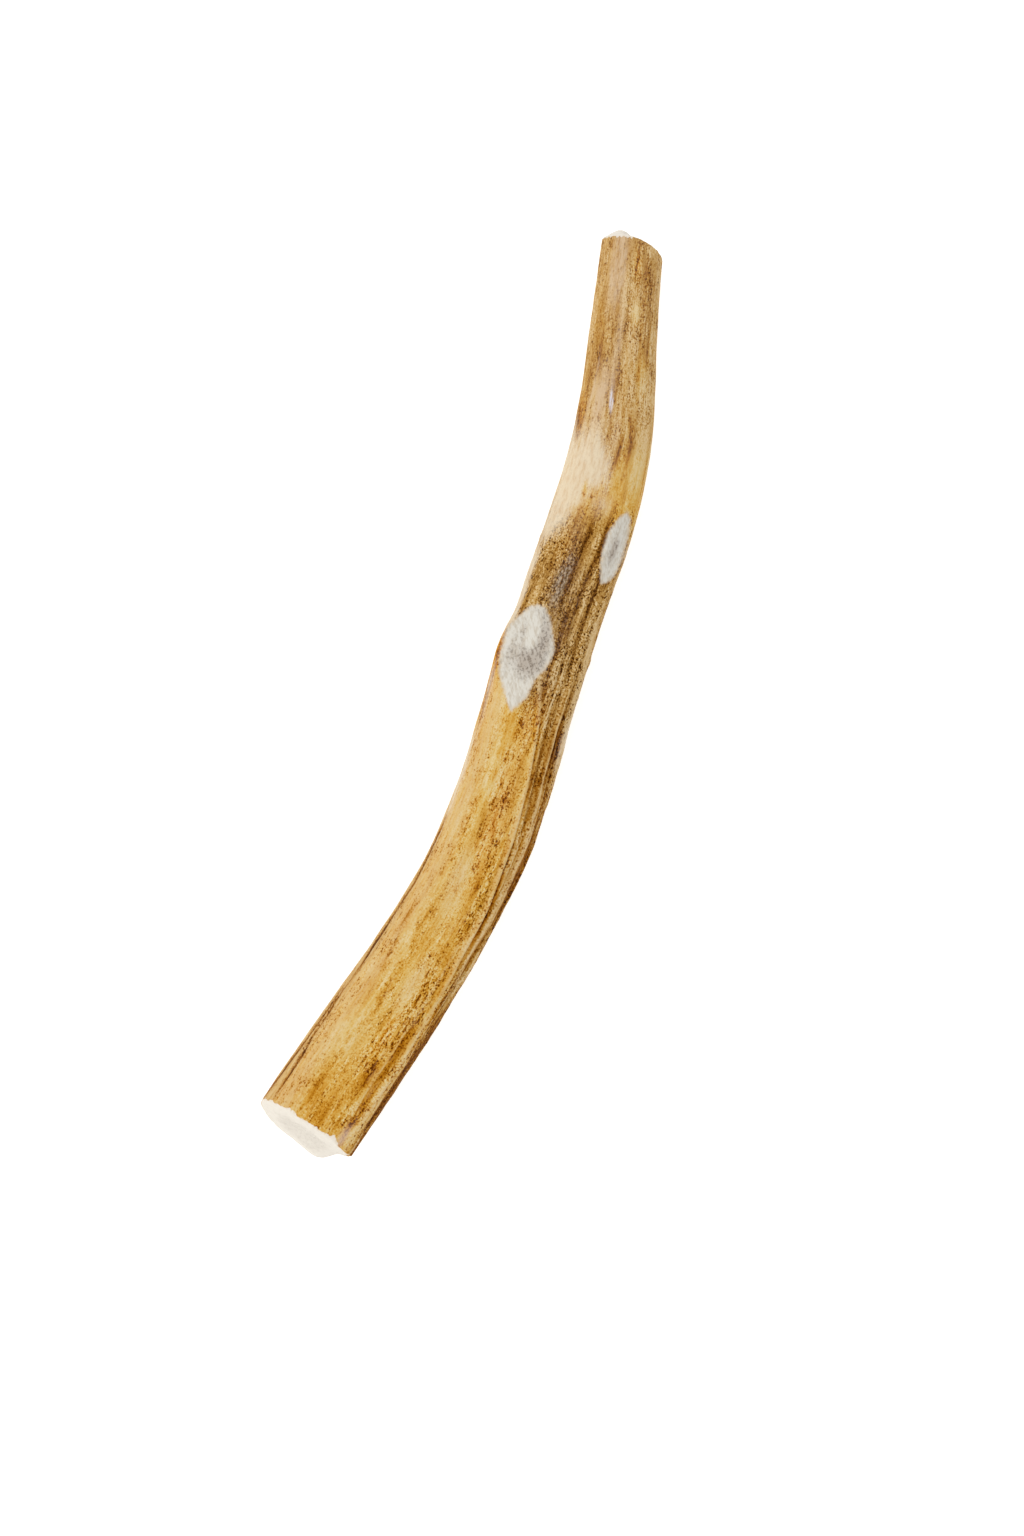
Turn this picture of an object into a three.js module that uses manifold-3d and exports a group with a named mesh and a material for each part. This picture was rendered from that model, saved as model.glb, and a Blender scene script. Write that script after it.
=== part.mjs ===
// A sawn length of deer antler, lying on a table as a loose piece does: one solid of bone,
// bent to one side, tapering from its thick end to its thin one, sawn off aslant at both ends
// and ground where two tines grew. Millimetres, +Z up, +X from the thick end to the thin one.
import * as THREE from "three";
import { mergeVertices } from "three/addons/utils/BufferGeometryUtils.js";
import Module from "manifold-3d";

// Driving dimensions. Each station of the beam: x and y of its middle line seen from above,
// half its width, half its height, and the gap under it where the beam arches off the table.
// The first and last stations lie past the saw cuts, in the waste.
const STATIONS = [
  { x: -19, y: 4.4, halfWidth: 10.8, halfHeight: 9.5, gap: 0 },
  { x: 0, y: 0, halfWidth: 10.7, halfHeight: 9.4, gap: 0 },
  { x: 18.6, y: -4.4, halfWidth: 10.6, halfHeight: 9.3, gap: 0.3 },
  { x: 37.2, y: -8.9, halfWidth: 10.1, halfHeight: 9.0, gap: 0.5 },
  { x: 56, y: -12.5, halfWidth: 9.7, halfHeight: 8.6, gap: 0.2 },
  { x: 75.1, y: -13.4, halfWidth: 9.7, halfHeight: 8.4, gap: 0 },
  { x: 94.3, y: -12.5, halfWidth: 9.1, halfHeight: 8.3, gap: 0 },
  { x: 113.4, y: -11.8, halfWidth: 8.8, halfHeight: 8.2, gap: 0.3 },
  { x: 132.5, y: -11.5, halfWidth: 8.8, halfHeight: 8.1, gap: 0.5 },
  { x: 151.5, y: -9.4, halfWidth: 8.0, halfHeight: 7.4, gap: 0.3 },
  { x: 170.1, y: -4.7, halfWidth: 7.0, halfHeight: 6.6, gap: 0 },
  { x: 188.6, y: 0, halfWidth: 6.3, halfHeight: 6.0, gap: 0 },
  { x: 207, y: 4.4, halfWidth: 5.7, halfHeight: 5.5, gap: 0 },
];
const SQUARENESS = 2.35; // 2 is an ellipse, more is boxier
const COLUMNS = 44; // facets round the beam
const RINGS = 74; // facets along it, waste and all

// What runs along the beam under its skin: where round the section each sits (degrees from the
// top, positive towards +Y), how far it spreads, its height, and the stretch of stations it fills.
const RUNS = [
  { what: "flat upper face", angle: 8, spread: 26, height: -0.45, from: 0, to: 6.2 },
  { what: "crest beside it", angle: -47, spread: 12, height: 0.35, from: 0, to: 6 },
  { what: "gutter in the flank", angle: -84, spread: 13, height: -0.5, from: 1.5, to: 9 },
  { what: "keel below", angle: -150, spread: 22, height: 0.5, from: 0, to: 5 },
  { what: "gutter of the far side", angle: 112, spread: 13, height: -0.5, from: 3, to: 11 },
];
const FADE = 1.2; // stations over which a run comes and goes

// The two stumps of cut tines. Each swells out of the beam and is ground off flat, square to its
// own angle round the beam and at its own distance from the middle line.
const STUMPS = [
  { what: "upper stump", station: 6.53, angle: 24, swell: 3, along: 7.5, around: 48, flatAt: 8.85 },
  { what: "flank stump", station: 7.82, angle: -46, swell: 0.8, along: 5, around: 24, flatAt: 8.95 },
];

// The saw cuts and the ground bevel, each on a plane that crosses the middle line so far beyond
// its station. From square to the beam, yaw turns a cut about +Z and pitch turns it to face up.
const SAWS = [
  { what: "thick end", station: 1, out: -1, yaw: -2, pitch: 18.5, beyond: 0.8 },
  { what: "thin end", station: 11, out: 1, yaw: -20, pitch: -14, beyond: -0.5 },
  { what: "bevel on it", station: 11, out: 1, yaw: 44, pitch: 30, beyond: 5.7 },
];
const SAW_BLOCK = 60; // side of the block that a saw cut takes off
const GRINDING_BLOCK = 30; // and of the block that grinding takes off a stump
const WELD = 1e-4; // vertices closer than this are one vertex

const radians = THREE.MathUtils.degToRad;
const UP = new THREE.Vector3(0, 0, 1);
const LAST = STATIONS.length - 1;

const curveOf = (point) => new THREE.CatmullRomCurve3(STATIONS.map(point), false, "catmullrom");
const middleLine = curveOf((s) => new THREE.Vector3(s.x, s.y, 0));
const sizes = curveOf((s) => new THREE.Vector3(s.halfWidth, s.halfHeight, s.gap));

// The middle of the beam at a station, with its directions along, to the left and up.
function frameAt(station) {
  const t = station / LAST;
  const along = middleLine.getTangent(t);
  const left = new THREE.Vector3().crossVectors(UP, along).normalize();
  return { middle: middleLine.getPoint(t), along, left, size: sizes.getPoint(t), station };
}

// 1 at nought, falling smoothly to nothing some two spreads away.
const bump = (distance, spread) => Math.exp(-((distance / spread) ** 2));

// The shorter way round from one angle to another, in degrees.
const turnBetween = (a, b) => THREE.MathUtils.euclideanModulo(a - b + 180, 360) - 180;

// How far the skin stands from the middle at an angle from the top, in degrees.
function reach(frame, angle) {
  const across = Math.abs(Math.sin(radians(angle))) / frame.size.x;
  const upwards = Math.abs(Math.cos(radians(angle))) / frame.size.y;
  let radius = (across ** SQUARENESS + upwards ** SQUARENESS) ** (-1 / SQUARENESS);
  for (const run of RUNS) {
    const share =
      THREE.MathUtils.smoothstep(frame.station, run.from - FADE, run.from + FADE) -
      THREE.MathUtils.smoothstep(frame.station, run.to - FADE, run.to + FADE);
    radius += run.height * share * bump(turnBetween(angle, run.angle), run.spread);
  }
  for (const stump of STUMPS) {
    const away = frame.middle.distanceTo(middleLine.getPoint(stump.station / LAST));
    const swell = bump(away, stump.along) * bump(turnBetween(angle, stump.angle), stump.around);
    radius += stump.swell * swell;
  }
  return radius;
}

const offset = (angle, radius, frame) =>
  new THREE.Vector3()
    .addScaledVector(frame.left, Math.sin(radians(angle)) * radius)
    .addScaledVector(UP, Math.cos(radians(angle)) * radius);

// How high the middle of the beam stands, with its underside at the station's gap.
function heightAt(frame) {
  let lowest = 0;
  for (let column = 0; column < COLUMNS; column++) {
    const angle = (column * 360) / COLUMNS;
    lowest = Math.min(lowest, reach(frame, angle) * Math.cos(radians(angle)));
  }
  return frame.size.z - lowest;
}

const axisPoint = (frame) => frame.middle.clone().addScaledVector(UP, heightAt(frame));

// The beam before it is sawn: a plain cylinder's skin drawn out to the stations.
function beamGeometry() {
  const geometry = new THREE.CylinderGeometry(1, 1, 1, COLUMNS, RINGS);
  const position = geometry.getAttribute("position");
  const vertex = new THREE.Vector3();
  for (let i = 0; i < position.count; i++) {
    vertex.fromBufferAttribute(position, i);
    const frame = frameAt((0.5 + vertex.y) * LAST);
    const share = Math.min(1, Math.hypot(vertex.x, vertex.z));
    const angle = THREE.MathUtils.radToDeg(Math.atan2(vertex.z, vertex.x));
    vertex.copy(axisPoint(frame)).add(offset(angle, reach(frame, angle) * share, frame));
    position.setXYZ(i, vertex.x, vertex.y, vertex.z);
  }
  return geometry;
}

// The block of waste past a cut, with one face on the plane of the cut, which faces outward.
function wasteGeometry(point, outward, side) {
  const geometry = new THREE.BoxGeometry(side, side, side);
  const turn = new THREE.Quaternion().setFromUnitVectors(UP, outward);
  const centre = point.clone().addScaledVector(outward, side / 2);
  return geometry.applyQuaternion(turn).translate(centre.x, centre.y, centre.z);
}

function stumpWaste(stump) {
  const frame = frameAt(stump.station);
  const outward = offset(stump.angle, 1, frame);
  const point = axisPoint(frame).addScaledVector(outward, stump.flatAt);
  return wasteGeometry(point, outward, GRINDING_BLOCK);
}

function sawWaste(saw) {
  const frame = frameAt(saw.station);
  const outward = frame.along.clone().multiplyScalar(saw.out).applyAxisAngle(UP, radians(saw.yaw));
  const side = new THREE.Vector3().crossVectors(outward, UP).normalize();
  outward.applyAxisAngle(side, radians(saw.pitch));
  const point = axisPoint(frame).addScaledVector(frame.along, saw.out * saw.beyond);
  return wasteGeometry(point, outward, SAW_BLOCK);
}

const wasm = await Module();
wasm.setup();

function solidOf(geometry) {
  geometry.deleteAttribute("normal");
  geometry.deleteAttribute("uv");
  const merged = mergeVertices(geometry, WELD);
  return new wasm.Manifold(
    new wasm.Mesh({
      numProp: 3,
      vertProperties: merged.getAttribute("position").array,
      triVerts: new Uint32Array(merged.index.array),
    }),
  );
}

function geometryOf(solid) {
  const mesh = solid.getMesh();
  const geometry = new THREE.BufferGeometry();
  geometry.setAttribute("position", new THREE.BufferAttribute(mesh.vertProperties, 3));
  geometry.setIndex(new THREE.BufferAttribute(mesh.triVerts, 1));
  return geometry;
}

function antlerGeometry() {
  let solid = solidOf(beamGeometry());
  for (const stump of STUMPS) solid = solid.subtract(solidOf(stumpWaste(stump)));
  for (const saw of SAWS) solid = solid.subtract(solidOf(sawWaste(saw)));
  return geometryOf(solid);
}

const bone = new THREE.MeshStandardMaterial({ color: "#c39b5e", roughness: 0.55, metalness: 0 });
const antler = new THREE.Mesh(antlerGeometry(), bone);
antler.name = "antler";

// The origin is on the table, under the middle of the antler's bounding box.
antler.geometry.computeBoundingBox();
const box = antler.geometry.boundingBox;
const middle = box.getCenter(new THREE.Vector3());
antler.position.set(-middle.x, -middle.y, -box.min.z);

const part = new THREE.Group();
part.add(antler);
export default part;
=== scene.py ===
"""A sawn length of deer antler lying on a pale table: one bent, tapering beam of bone with
two sawn ends and two ground stumps. Lengths are in millimetres until the mesh is finished."""
import functools
import math

import bpy
import numpy as np
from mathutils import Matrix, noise


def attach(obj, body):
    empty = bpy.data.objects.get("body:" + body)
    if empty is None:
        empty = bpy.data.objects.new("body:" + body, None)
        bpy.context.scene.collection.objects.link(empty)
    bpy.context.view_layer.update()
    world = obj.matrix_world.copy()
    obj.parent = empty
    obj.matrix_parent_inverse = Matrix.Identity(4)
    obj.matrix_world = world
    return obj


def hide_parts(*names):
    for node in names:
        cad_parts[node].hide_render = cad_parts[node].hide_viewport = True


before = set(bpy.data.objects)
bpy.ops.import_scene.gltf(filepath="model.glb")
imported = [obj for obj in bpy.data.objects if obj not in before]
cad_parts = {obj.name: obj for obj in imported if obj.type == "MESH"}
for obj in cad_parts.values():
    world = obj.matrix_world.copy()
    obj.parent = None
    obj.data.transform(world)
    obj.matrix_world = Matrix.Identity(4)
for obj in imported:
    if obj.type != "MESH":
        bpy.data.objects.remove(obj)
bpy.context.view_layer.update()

# ---------------------------------------------------------------------------- the view
# The antler is looked at from straight above, with its thin end away from the viewer and
# turned a little to the right.
EYE = (-10.47, -7.43, 733.5)
LENS = 85.0
LONG_SIDE_OF_SENSOR = 36.0
TURN_OF_VIEW = -69.78
MM = 0.001

view = bpy.data.cameras.new("view")
view.lens = LENS
view.sensor_fit = "VERTICAL"
view.sensor_height = LONG_SIDE_OF_SENSOR
view.clip_start = 0.02
view.clip_end = 60
camera = bpy.data.objects.new("camera", view)
camera.location = [value * MM for value in EYE]
camera.rotation_euler = (0, 0, math.radians(TURN_OF_VIEW))
bpy.context.scene.collection.objects.link(camera)
bpy.context.scene.camera = camera

# ---------------------------------------------------------------------------- table and light
# A white light table under a white tent, with one large soft lamp over the antler's far side.
# The light runs past white on the table.
TABLE_SIDE = 12.0
TABLE_GLOW = 0.62
TABLE_WHITE = 0.7
LAMP_SIDE = 1.1
LAMP_PLACE = (-0.25, 0.75, 1.25)
LAMP_WATTS = 9.0
TENT_LIGHT = 0.98

scene = bpy.context.scene
scene.view_settings.view_transform = "Standard"
scene.view_settings.look = "None"

tent = bpy.data.worlds.new("white tent")
tent.use_nodes = True
tent.node_tree.nodes["Background"].inputs["Color"].default_value = (1, 0.985, 0.965, 1)
tent.node_tree.nodes["Background"].inputs["Strength"].default_value = TENT_LIGHT
scene.world = tent

lamp_light = bpy.data.lights.new("soft lamp", "AREA")
lamp_light.shape = "SQUARE"
lamp_light.size = LAMP_SIDE
lamp_light.energy = LAMP_WATTS
lamp_light.color = (1, 0.98, 0.95)
lamp = bpy.data.objects.new("soft lamp", lamp_light)
lamp.location = LAMP_PLACE
down_the_lamp = -lamp.location
lamp.rotation_euler = down_the_lamp.to_track_quat("-Z", "Y").to_euler()
lamp.visible_camera = False
scene.collection.objects.link(lamp)

bpy.ops.object.select_all(action="DESELECT")
bpy.ops.mesh.primitive_plane_add(size=TABLE_SIDE)
table = bpy.context.object
table.name = "table"
table_finish = bpy.data.materials.new("white light table")
table_finish.use_nodes = True
table_shader = table_finish.node_tree.nodes["Principled BSDF"]
table_shader.inputs["Base Color"].default_value = (TABLE_WHITE, TABLE_WHITE, TABLE_WHITE, 1)
table_shader.inputs["Roughness"].default_value = 0.9
table_shader.inputs["Specular IOR Level"].default_value = 0.2
table_shader.inputs["Emission Color"].default_value = (1, 0.995, 0.98, 1)
table_shader.inputs["Emission Strength"].default_value = TABLE_GLOW
table.data.materials.append(table_finish)

# ---------------------------------------------------------------------------- the beam's blank
# The beam is one length of antler. It starts as a straight round blank lying along X, ruled
# with rings and columns, and the end faces ruled with rings down to their middles.
COLUMNS = 216
CUTS_ALONG = (99, 3)
END_RINGS = {-1: 26, 1: 14}
ON_THE_SIDE = 0.9995

bpy.ops.object.select_all(action="DESELECT")
bpy.ops.mesh.primitive_cylinder_add(
    vertices=COLUMNS, radius=1, depth=1, end_fill_type="NGON", rotation=(0, math.pi / 2, 0)
)
antler = bpy.context.object
antler.name = "antler_bone"
bpy.ops.object.transform_apply(location=True, rotation=True, scale=True)
for layer in list(antler.data.uv_layers):
    antler.data.uv_layers.remove(layer)


def choose(kind, wanted):
    """Selects the edges or faces of the blank that wanted() says yes to, and opens it for work."""
    bpy.ops.object.mode_set(mode="EDIT")
    bpy.ops.mesh.select_mode(type=kind)
    bpy.ops.mesh.select_all(action="DESELECT")
    bpy.ops.object.mode_set(mode="OBJECT")
    places = [vertex.co for vertex in antler.data.vertices]
    pieces = antler.data.edges if kind == "EDGE" else antler.data.polygons
    for piece in pieces:
        piece.select = wanted(piece, places)
    bpy.ops.object.mode_set(mode="EDIT")


def runs_along(edge, places):
    """True for an edge that runs from end to end of the blank."""
    start, end = (places[index] for index in edge.vertices)
    return abs(start.x - end.x) > 1e-4 and (start - end).length < abs(start.x - end.x) * 1.001


for cuts in CUTS_ALONG:
    choose("EDGE", runs_along)
    bpy.ops.mesh.subdivide(number_cuts=cuts)
    bpy.ops.object.mode_set(mode="OBJECT")

for end, rings in END_RINGS.items():
    choose("FACE", lambda face, places: face.normal.x * end > 0.9)
    for _ in range(rings):
        bpy.ops.mesh.inset(thickness=1 / (rings + 1))
    bpy.ops.mesh.poke()
    bpy.ops.object.mode_set(mode="OBJECT")

blank = np.zeros(len(antler.data.vertices) * 3)
antler.data.vertices.foreach_get("co", blank)
blank = blank.reshape(-1, 3)
step = blank[:, 0] + 0.5
angle = np.degrees(np.arctan2(blank[:, 1], blank[:, 2]))
share = np.minimum(np.hypot(blank[:, 1], blank[:, 2]), 1)
is_side = share > ON_THE_SIDE
share[is_side] = 1
at_thick = step < 1e-6
at_thin = step > 1 - 1e-6
sine = np.sin(np.radians(angle))
cosine = np.cos(np.radians(angle))

# ---------------------------------------------------------------------------- the beam's growth
# The beam bends to one side and thins towards its tip. It was drawn from stations 19.13 mm
# apart along its middle line: each with its place from above, half its width and height, and
# the gap under it. What runs along it, and the swellings of its two tines, grow out of those.
STATION_STEP = 19.13
FIRST_STATION_AT = (-92.173, 6.166)
STATIONS = np.array([
    (-19, 4.4, 10.8, 9.5, 0),
    (0, 0, 10.7, 9.4, 0),
    (18.6, -4.4, 10.6, 9.3, 0.3),
    (37.2, -8.9, 10.1, 9.0, 0.5),
    (56, -12.5, 9.7, 8.6, 0.2),
    (75.1, -13.4, 9.7, 8.4, 0),
    (94.3, -12.5, 9.1, 8.3, 0),
    (113.4, -11.8, 8.8, 8.2, 0.3),
    (132.5, -11.5, 8.8, 8.1, 0.5),
    (151.5, -9.4, 8.0, 7.4, 0.3),
    (170.1, -4.7, 7.0, 6.6, 0),
    (188.6, 0, 6.3, 6.0, 0),
    (207, 4.4, 5.7, 5.5, 0),
])
X, Y, HALF_WIDTH, HALF_HEIGHT, GAP = range(5)
SQUARENESS = 2.35
FADE = 1.2
# Angle round the beam, degrees from the top towards +Y; spread; height; from and to a station.
RUNS = [
    (8, 26, -0.45, 0, 6.2),
    (-47, 12, 0.35, 0, 6),
    (-84, 13, -0.5, 1.5, 9),
    (-150, 22, 0.5, 0, 5),
    (112, 13, -0.5, 3, 11),
]
# Station, angle, swelling, and its spread along and around.
TINES = [(6.53, 24, 3, 7.5, 48), (7.82, -46, 0.8, 5, 24)]


def drawn_through(column, station):
    """The smooth line through one column of the stations."""
    values = STATIONS[:, column]
    before, after = 2 * values[0] - values[1], 2 * values[-1] - values[-2]
    values = np.concatenate(([before], values, [after]))
    first = np.clip(np.floor(station).astype(int), 0, len(STATIONS) - 2)
    t = station - first
    a, b, c, d = (values[first + k] for k in range(4))
    return b + 0.5 * t * (c - a + t * (2 * a - 5 * b + 4 * c - d + t * (3 * (b - c) + d - a)))


def hump(distance, spread):
    """1 at nought, falling smoothly to nothing some two spreads away."""
    return np.exp(-((distance / spread) ** 2))


def ease(low, high, value):
    """From 0 at low to 1 at high, smoothly."""
    t = np.clip((value - low) / (high - low), 0, 1)
    return t * t * (3 - 2 * t)


def turn_between(one, other):
    """The shorter way round from one angle to another, in degrees."""
    return (one - other + 180) % 360 - 180


def grown(along, angle):
    """How far the skin stands from the middle line, at a place along it and an angle round it."""
    station = 1 + along / STATION_STEP
    across = np.abs(np.sin(np.radians(angle))) / drawn_through(HALF_WIDTH, station)
    upwards = np.abs(np.cos(np.radians(angle))) / drawn_through(HALF_HEIGHT, station)
    radius = (across**SQUARENESS + upwards**SQUARENESS) ** (-1 / SQUARENESS)
    for at, spread, height, start, end in RUNS:
        there = ease(start - FADE, start + FADE, station) - ease(end - FADE, end + FADE, station)
        radius = radius + height * there * hump(turn_between(angle, at), spread)
    for at, tine_angle, swelling, spread, around in TINES:
        away = (station - at) * STATION_STEP
        radius = radius + swelling * hump(away, spread) * hump(turn_between(angle, tine_angle), around)
    return radius


ruled_stations = np.linspace(0, len(STATIONS) - 1, 241)
ruled_angles = np.arange(0, 360, 6)
ruled_reach = grown((ruled_stations[:, None] - 1) * STATION_STEP, ruled_angles[None, :])
ruled_lowest = (ruled_reach * np.cos(np.radians(ruled_angles))).min(axis=1)
ruled_height = drawn_through(GAP, ruled_stations) - ruled_lowest


def middle_line(along):
    """The middle line's place over the table at a distance along it, and its way ahead."""
    station = 1 + along / STATION_STEP
    small = 0.02
    ahead = [drawn_through(k, station + small) - drawn_through(k, station - small) for k in (X, Y)]
    ahead = np.stack(ahead, 1) / np.hypot(*ahead)[:, None]
    place = [drawn_through(k, station) + FIRST_STATION_AT[k] for k in (X, Y)]
    return np.stack(place + [np.interp(station, ruled_stations, ruled_height)], 1), ahead


def bent(along, left, up):
    """Bends a place in the straight blank to where it lies on the table."""
    place, ahead = middle_line(along)
    place[:, 0] -= ahead[:, 1] * left
    place[:, 1] += ahead[:, 0] * left
    place[:, 2] += up
    return place


# ---------------------------------------------------------------------------- the saw cuts
# A band saw took the beam off at both ends. The thick end leans back; the thin end is aslant
# and leans over, with its left corner rubbed off and a lip of bone left where the saw broke out.
SAWN_LENGTH = 10 * STATION_STEP
THICK_CUT = {"out": -1, "yaw": -2, "pitch": 18.5, "beyond": 0.8}
THIN_CUT = {"out": 1, "yaw": -20, "pitch": -14, "beyond": -0.5}
BEVEL = {"out": 1, "yaw": 9, "pitch": 0, "beyond": 0.95}
BEVEL_SOFTNESS = 0.3
LIP_AT, LIP_SPREAD, LIP_LENGTH = (2.2, -0.6), (3.4, 3.8), 2.6
# Place left and up, spread sideways and upwards, and how far the thick face stands out there,
# where the saw wandered and the lower corner chipped.
THICK_SWELLS = [
    (0.5, 0, 9, 12, 0.5), (-5, -6, 2.9, 5, 0.85), (-1.5, -6, 3, 5, 0.4), (5, -6, 4, 5, 0.3),
    (-10.8, 0, 3, 5, -1.3), (-9, -8, 3, 5, -1.2), (-8.2, -5, 1.5, 5, -0.7),
]
RIM_SHARE = 0.04
RIM_STEPS = 0.0125


def sawn(cut, left, up):
    """Where a cut lies along the beam, beyond its station, for a place in the section."""
    yaw, pitch = math.radians(cut["yaw"]), math.radians(cut["pitch"])
    tilt = math.sin(yaw) * math.cos(pitch) * left + cut["out"] * math.sin(pitch) * up
    return cut["out"] * cut["beyond"] - tilt / (math.cos(yaw) * math.cos(pitch))


def thick_end(left, up):
    """Where the thick sawn face lies along the beam, for a place in the section."""
    face = sawn(THICK_CUT, left, up)
    for at_left, at_up, wide, tall, swell in THICK_SWELLS:
        face = face - swell * hump(left - at_left, wide) * hump(up - at_up, tall)
    return face


def thin_end(left, up):
    """Where the thin sawn face lies along the beam, with its rubbed corner and its lip."""
    main, bevel = sawn(THIN_CUT, left, up), sawn(BEVEL, left, up)
    nearer = np.minimum(main, bevel)
    corner = BEVEL_SOFTNESS * np.exp(-np.abs(main - bevel) / (2 * BEVEL_SOFTNESS))
    lip = LIP_LENGTH * hump(left - LIP_AT[0], LIP_SPREAD[0]) * hump(up - LIP_AT[1], LIP_SPREAD[1])
    return SAWN_LENGTH + nearer - corner + lip


steps_along = np.interp(step, (0, RIM_SHARE, 1 - RIM_SHARE, 1), (0, RIM_STEPS, 1 - RIM_STEPS, 1))


def between_cuts(reach):
    """Where each ring of the side lies along the beam, for its reach from the middle line."""
    start = thick_end(reach * sine, reach * cosine)
    end = thin_end(reach * sine, reach * cosine)
    return start + (end - start) * steps_along


along = steps_along * SAWN_LENGTH
for _ in range(4):
    reach = grown(along, angle)
    along = between_cuts(reach)

# ---------------------------------------------------------------------------- the skin's relief
# Skin that fed the growing antler left gutters and crests along the beam. They are worn off
# the upper face, deep on the flank, and pearled and rough round the stumps of the tines.
BLANK_RADIUS = 8.5
LOOKED_AT_HEIGHT = 8.5
STUMP_HALF_LENGTH = 14
UPPER_SIDE_FROM = (-3.5, 0.5)
LINE_WAVER = 0.25
LINE_FADE = 4
OVAL_EDGE = 2.4
# Places are written as they are seen from above: along the middle line, and to its left. A soft
# oval is its middle along and left, half its length and width, its turn, and what it counts for.
UPPER_STUMP = {
    "station": 6.53, "angle": 24, "flat_at": 8.85,
    "outline": [
        (93.6, 2.96), (95.5, 4.63), (98.4, 6.6), (100.6, 7.95), (104.7, 8.8), (109.5, 8.96),
        (112.4, 7.5), (114.8, 6.14), (115.8, 4.51), (115.5, 2.92), (113.9, 1.42), (111, -0.12),
        (108.2, -1.44), (105.7, -1.4), (103.7, -1), (102.3, 0.05), (101.1, 0.54), (97.2, 0.9),
        (95.5, 2),
    ],
    "marrow": [
        (104.7, 2.7, 3.8, 3.3, 0, 1), (110.8, 1.2, 3.8, 1.6, 8, 0.8), (114.3, 3.6, 1.6, 1.6, 0, 0.4),
        (109.8, 3.8, 2.7, 0.95, 6, -1), (110, 5.6, 1.8, 0.7, 0, 0.5), (105, 6.9, 5, 0.8, 0, 0.35),
        (102.6, 8, 0.3, 0.25, 0, 1.2),
    ],
}
FLANK_STUMP = {
    "station": 7.82, "angle": -46, "flat_at": 8.95,
    "outline": [
        (138.6, -6.2), (137.4, -7.5), (134.1, -7.9), (130.8, -8), (127.4, -8), (125.6, -7.6),
        (124.2, -6.7), (123.8, -5.9), (125, -5), (127.4, -4.25), (130.8, -3.75), (134.1, -3.95),
        (137, -4.95),
    ],
    "marrow": [(130.8, -6, 2.8, 0.8, 0, 0.8), (129.5, -5.6, 5, 1.4, 0, 0.1)],
}


def seen_from_above(along, left, up):
    """The place along and to the left where a spot of the skin is seen from over the table."""
    place, ahead = middle_line(along)
    at = bent(along, left, up)
    drift = (at[:, 2] - LOOKED_AT_HEIGHT) / (EYE[2] - at[:, 2])
    away = (at[:, :2] - np.array(EYE[:2])) * drift[:, None]
    seen_along = along + (away * ahead).sum(1)
    seen_left = left + away[:, 1] * ahead[:, 0] - away[:, 0] * ahead[:, 1]
    return seen_along, seen_left


at_side = np.flatnonzero(is_side)
grain_points = np.stack((along, BLANK_RADIUS * sine, BLANK_RADIUS * cosine), 1)


def grain(long, around, seed):
    """Smooth noise over the side, -1 to 1, drawn out along the beam; sizes in millimetres."""
    values = np.zeros(len(along))
    scaled = grain_points[at_side] / (long, around, around) + (seed * 7.3, seed * 3.1, -seed * 5.7)
    values[at_side] = [noise.noise(point) for point in scaled.tolist()]
    return values


def ground_flat(stump):
    """How far the plane of a ground stump stands from the middle line, round the beam."""
    turn = np.clip(turn_between(angle, stump["angle"]), -75, 75)
    return stump["flat_at"] / np.cos(np.radians(turn))


near_upper = np.abs(along - (UPPER_STUMP["station"] - 1) * STATION_STEP) < STUMP_HALF_LENGTH
near_flank = np.abs(along - (FLANK_STUMP["station"] - 1) * STATION_STEP) < STUMP_HALF_LENGTH
ground = np.where(near_upper, np.minimum(reach, ground_flat(UPPER_STUMP)), reach)
ground = np.where(near_flank, np.minimum(ground, ground_flat(FLANK_STUMP)), ground)
seen_along, seen_left = seen_from_above(along, ground * sine, ground * cosine)
upper = ease(*UPPER_SIDE_FROM, ground * cosine) * is_side
waver = LINE_WAVER * grain(7, 30, 1)


def stroke(points, width):
    """A line drawn through points on the upper side: 1 on it, 0 beside it, fading at its ends."""
    places = np.array(points, float)
    line = np.interp(seen_along, places[:, 0], places[:, 1]) + waver
    start, end = places[0, 0], places[-1, 0]
    fade = min(LINE_FADE, (end - start) / 3)
    there = ease(start - fade, start + fade, seen_along) * ease(-end - fade, -end + fade, -seen_along)
    return hump(seen_left - line, width) * there * upper


def patch(at_along, at_left, long, wide, turn=0):
    """A soft oval on the upper side, 1 in its middle."""
    ahead, aside = seen_along - at_along, seen_left - at_left
    c, s = math.cos(math.radians(turn)), math.sin(math.radians(turn))
    far = np.hypot((ahead * c + aside * s) / long, (aside * c - ahead * s) / wide)
    return np.exp(-far**OVAL_EDGE) * upper


def patches(ovals):
    """Soft ovals added up, each with the number that stands last in its row."""
    return sum(amount * patch(*oval) for *oval, amount in ovals)


# Along the beam, and how far each side swells out there, or is worn back.
FLANK_SWELLS = [
    (0, 0), (14, 0.1), (24, 0.32), (34, 0.22), (42, 0.33), (50, 0.05), (58, 0.03), (64, 0.35),
    (70, 0.6), (77, 0.32), (86, 0.42), (98, 0.25), (110, 0.12), (126, -0.07), (134, -0.08),
    (150, 0.08), (158, -0.08), (178, -0.25), (190, -0.12),
]
FAR_SWELLS = [
    (4, 0), (14, -0.25), (20, -0.42), (30, -0.28), (46, -0.42), (56, -0.35), (66, -0.55),
    (76, -0.7), (84, -0.45), (90, -0.2), (98, 0.05), (104, -0.1), (109, -0.55), (114, -0.4),
    (119, 0), (134, 0), (146, -0.12), (166, -0.15), (190, -0.08),
]
SIDE_SPREAD = 30
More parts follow.
